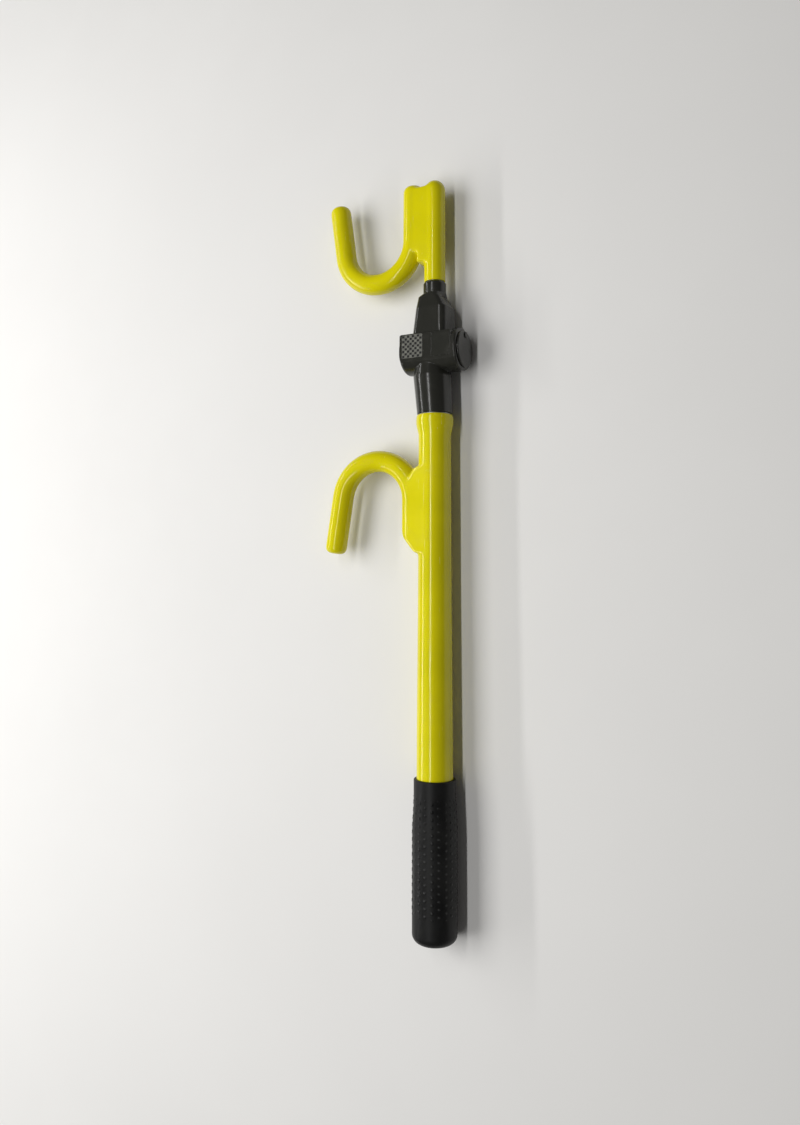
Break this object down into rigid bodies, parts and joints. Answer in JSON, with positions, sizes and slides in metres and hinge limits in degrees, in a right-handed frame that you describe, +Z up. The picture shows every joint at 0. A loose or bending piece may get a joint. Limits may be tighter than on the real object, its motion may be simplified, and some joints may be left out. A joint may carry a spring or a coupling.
{
  "type": "steering wheel lock",
  "caption": "Telescopic anti-theft bar that clamps inside a steering wheel: yellow dipped tube and hooks, black lock head with a cross barrel, dotted rubber grip.",
  "frame": {"origin": "centre of the flat back of the lock head, below the crossing of the bar's axis and the cross barrel's axis, on the surface that the lock lies on", "axes": "+X along the bar towards the sliding shaft's hook, +Y across the bar towards the side that the hooks reach to, -Y is the key end, +Z up from the back of the head to its front"},
  "size_m": [0.5705, 0.1222, 0.0328],
  "materials": {
    "yellow_vinyl": "glossy dipped vinyl",
    "black_plastic": "satin moulded, fine grain",
    "pad_rubber": "checkered anti-slip",
    "grip_rubber": "soft, raised dots",
    "tube_steel": "mill finish under the skin",
    "hardened_steel": "bright plated, turned grooves",
    "screw_steel": "dark plated",
    "spring_steel": "drawn wire",
    "zinc": "die-cast",
    "brass": "machined",
    "nylon": "natural nylon"
  },
  "bodies": {
    "lock_body": {"outer_tube": "tube_steel", "body_hook": "tube_steel", "body_hook_weld": "tube_steel", "body_coat": "yellow_vinyl", "grip": "grip_rubber", "tube_end_plug": "nylon", "lock_block": "zinc", "block_rivets": "hardened_steel", "front_cover": "black_plastic", "rear_cover": "black_plastic", "checker_pad": "pad_rubber", "plain_pad": "black_plastic", "nose_collar": "black_plastic", "nose_bush": "nylon", "end_bezel": "black_plastic", "cover_pivot": "black_plastic", "cylinder_housing": "brass", "driver_pins": "brass", "pin_springs": "spring_steel", "chamber_strip": "brass", "bolt_spring": "spring_steel", "rear_screws": "screw_steel"},
    "shaft": {"notched_shaft": "hardened_steel", "end_sleeve": "tube_steel", "shaft_hook": "tube_steel", "shaft_hook_weld": "tube_steel", "shaft_coat": "yellow_vinyl", "tail_stop": "hardened_steel", "tail_pin": "hardened_steel", "tail_guide": "nylon"},
    "key_plug": {"plug": "brass", "key_pins": "brass", "cam_pin": "hardened_steel", "plug_clip": "hardened_steel"},
    "bolt": {"locking_bolt": "hardened_steel"},
    "keyhole_flap": {"keyhole_cover": "black_plastic"}
  },
  "joints": [
    {"name": "shaft_slide", "type": "slide", "parent": "lock_body", "child": "shaft", "axis": [1, 0, 0], "range_m": [0, 0.25]},
    {"name": "plug_turn", "type": "hinge", "parent": "lock_body", "child": "key_plug", "pos_m": [0, -0.0163, 0.0164], "axis": [0, 1, 0], "range_deg": [0, 90]},
    {"name": "bolt_slide", "type": "slide", "parent": "lock_body", "child": "bolt", "axis": [0, 0, -1], "range_m": [0, 0.002], "deforming": ["bolt_spring"]},
    {"name": "keyhole_cover_swing", "type": "hinge", "parent": "lock_body", "child": "keyhole_flap", "pos_m": [0.0108, -0.0252, 0.0164], "axis": [0, 1, 0], "range_deg": [0, 130]}
  ],
  "couplings": [
    {"joint": "plug_turn", "follows": "bolt_slide", "rad_per_m": 785.3}
  ]
}
